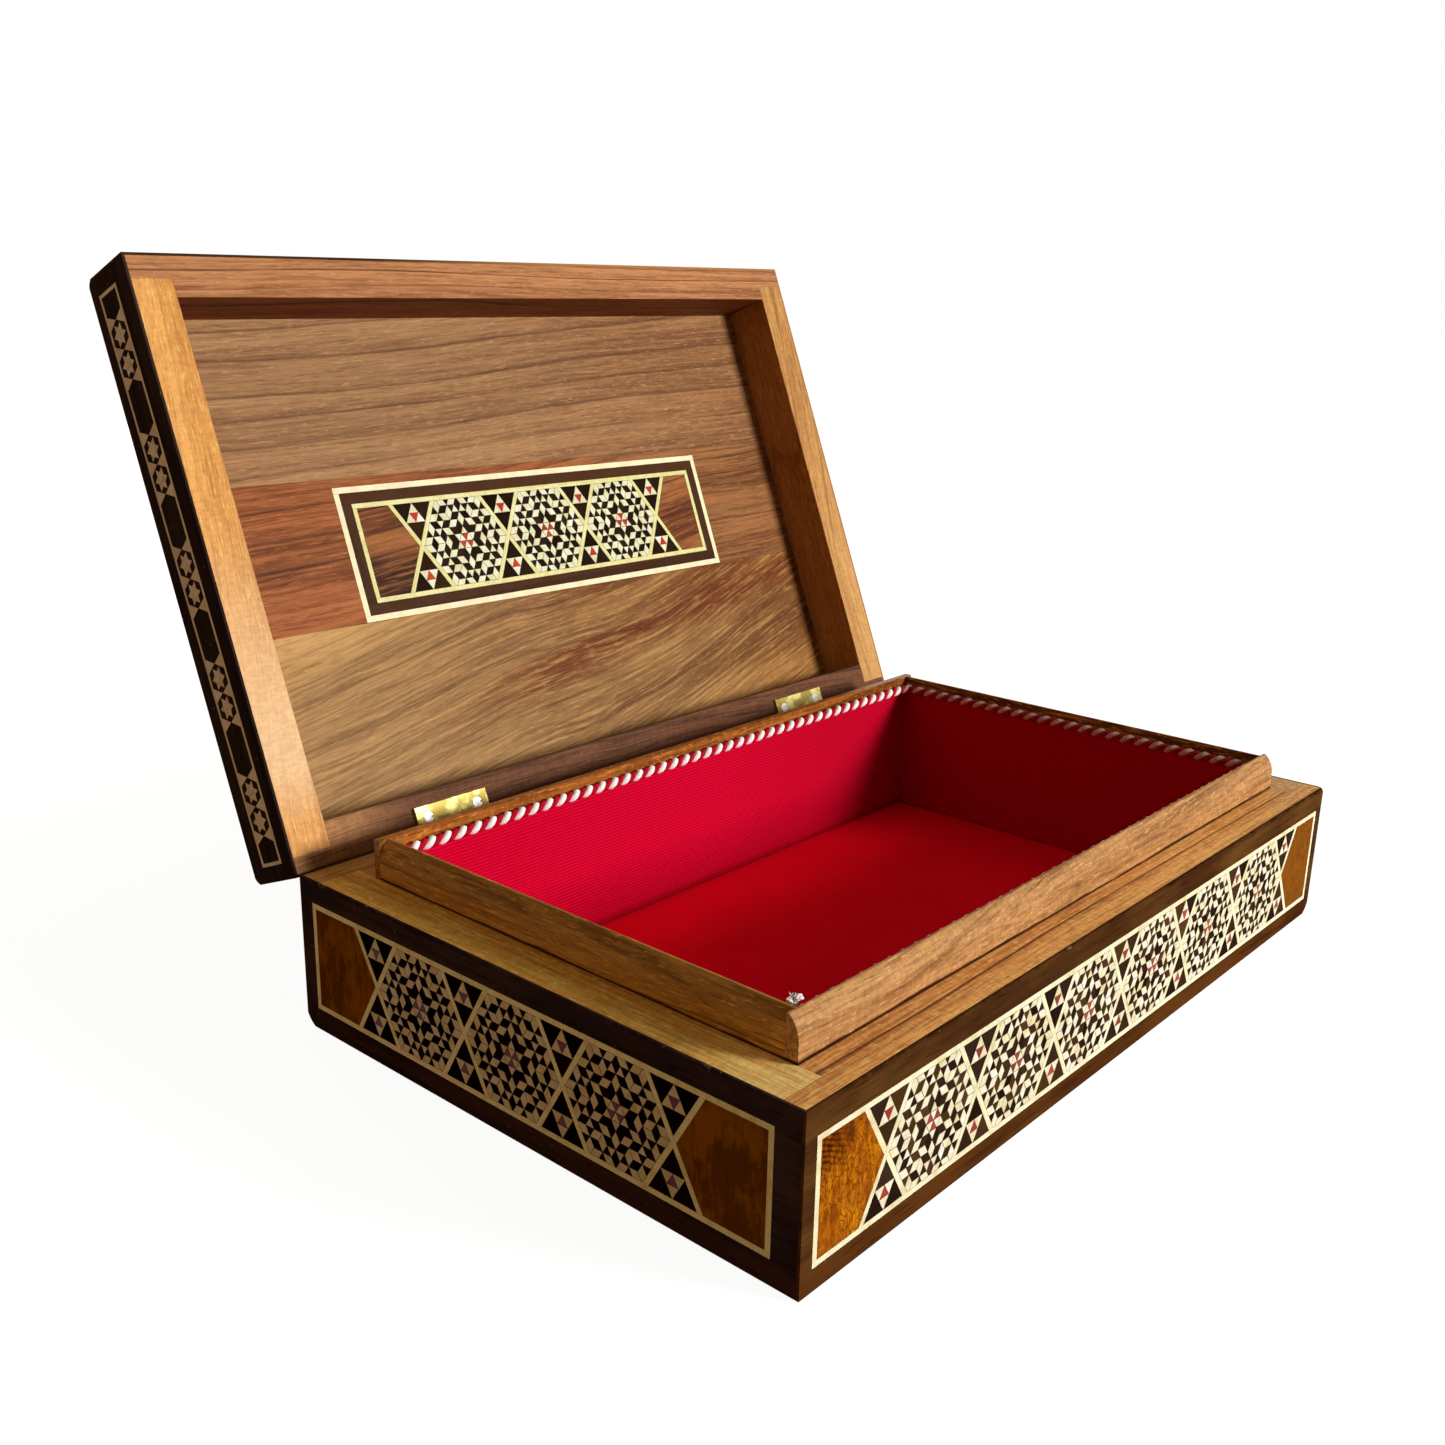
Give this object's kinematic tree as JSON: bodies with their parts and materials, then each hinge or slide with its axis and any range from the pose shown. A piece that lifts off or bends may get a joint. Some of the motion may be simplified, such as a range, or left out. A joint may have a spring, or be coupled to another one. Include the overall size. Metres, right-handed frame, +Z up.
{
  "type": "inlaid wooden box",
  "caption": "Low rectangular wooden box with star marquetry bands, a hinged lid standing open and a red lined tray for keeping small things.",
  "frame": {"origin": "centre of the underside of the base", "axes": "+X along the long side (right as seen from the front), +Y from front to back, +Z up"},
  "size_m": [0.25, 0.2368, 0.1852],
  "materials": {
    "base_front_wood": "satin varnish",
    "base_back_wood": "satin varnish",
    "base_side_wood": "satin varnish",
    "bottom_wood": "sanded",
    "strip_wood": "satin varnish",
    "strip_back_wood": "glossy glue stain",
    "lining_cloth": "ribbed",
    "floor_cloth": "smooth",
    "cord_thread": "two-ply twist, red and white",
    "cord_fray": "loose thread",
    "walnut_veneer": "gloss varnish",
    "lemonwood_string": "gloss varnish",
    "dark_tile_wood": "gloss varnish",
    "pale_tile_wood": "gloss varnish",
    "red_tile_wood": "gloss varnish",
    "burl_panel": "gloss varnish",
    "panel_walnut": "gloss varnish",
    "tan_inlay": "gloss varnish",
    "hinge_brass": "pressed, bright",
    "screw_steel": "zinc plated",
    "lid_front_wood": "satin varnish",
    "lid_back_wood": "satin varnish",
    "lid_side_wood": "satin varnish",
    "board_grey_walnut": "satin varnish",
    "board_red_walnut": "satin varnish",
    "board_striped_walnut": "satin varnish"
  },
  "bodies": {
    "base": {"wall_front": "base_front_wood", "wall_back": "base_back_wood", "wall_left": "base_side_wood", "wall_right": "base_side_wood", "bottom_board": "bottom_wood", "riser_front": "strip_wood", "riser_back": "strip_back_wood", "riser_left": "strip_wood", "riser_right": "strip_wood", "lining_walls": "lining_cloth", "lining_floor": "floor_cloth", "trim_cord": "cord_thread", "trim_tuft": "cord_fray", "veneer_front": "walnut_veneer", "veneer_back": "walnut_veneer", "veneer_left": "walnut_veneer", "veneer_right": "walnut_veneer", "strings_front": "lemonwood_string", "strings_back": "lemonwood_string", "strings_left": "lemonwood_string", "strings_right": "lemonwood_string", "dark_front": "dark_tile_wood", "dark_back": "dark_tile_wood", "dark_left": "dark_tile_wood", "dark_right": "dark_tile_wood", "light_front": "pale_tile_wood", "light_back": "pale_tile_wood", "light_left": "pale_tile_wood", "light_right": "pale_tile_wood", "red_base": "red_tile_wood", "panels_base": "burl_panel", "hinge_leaf_base_left": "hinge_brass", "hinge_leaf_base_right": "hinge_brass", "hinge_pins": "screw_steel", "screws_base": "screw_steel"},
    "lid": {"lid_rail_front": "lid_front_wood", "lid_rail_back": "lid_back_wood", "lid_rail_left": "lid_side_wood", "lid_rail_right": "lid_side_wood", "lid_board_front": "board_grey_walnut", "lid_board_middle": "board_red_walnut", "lid_board_rear": "board_striped_walnut", "lid_edge_front": "walnut_veneer", "lid_edge_back": "walnut_veneer", "lid_edge_left": "walnut_veneer", "lid_edge_right": "walnut_veneer", "lid_edge_inlay": "tan_inlay", "lid_top": "walnut_veneer", "lid_top_strings": "lemonwood_string", "lid_top_dark": "dark_tile_wood", "lid_top_light": "pale_tile_wood", "medallion_strings": "lemonwood_string", "medallion_dark": "dark_tile_wood", "medallion_light": "pale_tile_wood", "lid_red": "red_tile_wood", "lid_panels": "burl_panel", "medallion_panels": "panel_walnut", "hinge_leaf_lid_left": "hinge_brass", "hinge_leaf_lid_right": "hinge_brass", "screws_lid": "screw_steel"}
  },
  "joints": [
    {"name": "lid_hinge", "type": "hinge", "parent": "base", "child": "lid", "pos_m": [0, 0.07935, 0.03885], "axis": [1, 0, 0], "range_deg": [0, 112]}
  ]
}
